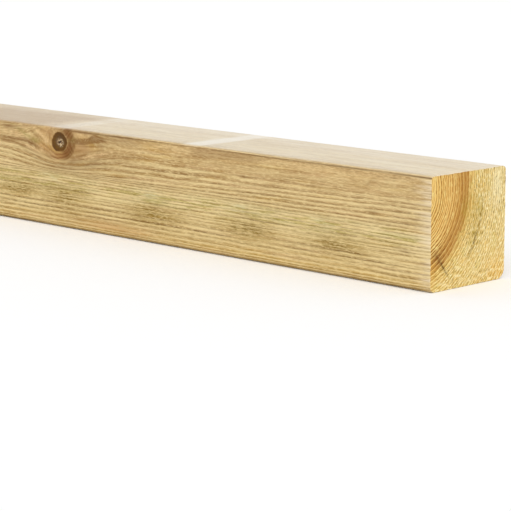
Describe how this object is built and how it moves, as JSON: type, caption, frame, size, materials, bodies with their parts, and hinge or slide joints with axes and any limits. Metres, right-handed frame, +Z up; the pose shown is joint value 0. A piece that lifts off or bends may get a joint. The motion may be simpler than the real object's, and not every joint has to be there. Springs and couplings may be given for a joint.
{
  "type": "treated spruce post",
  "caption": "Square pressure-treated softwood post with eased long edges and square-cut ends, for fences, decks and light framing.",
  "frame": {"origin": "middle of the bed face, the face that the post lies on", "axes": "+X along the grain towards the cross-cut end that faces the viewer, +Y from the front face to the back face, +Z up"},
  "size_m": [1.8, 0.09, 0.09],
  "materials": {
    "treated_spruce": "planed, pressure treated, unpainted"
  },
  "bodies": {
    "root": {"post": "treated_spruce"}
  },
  "joints": []
}
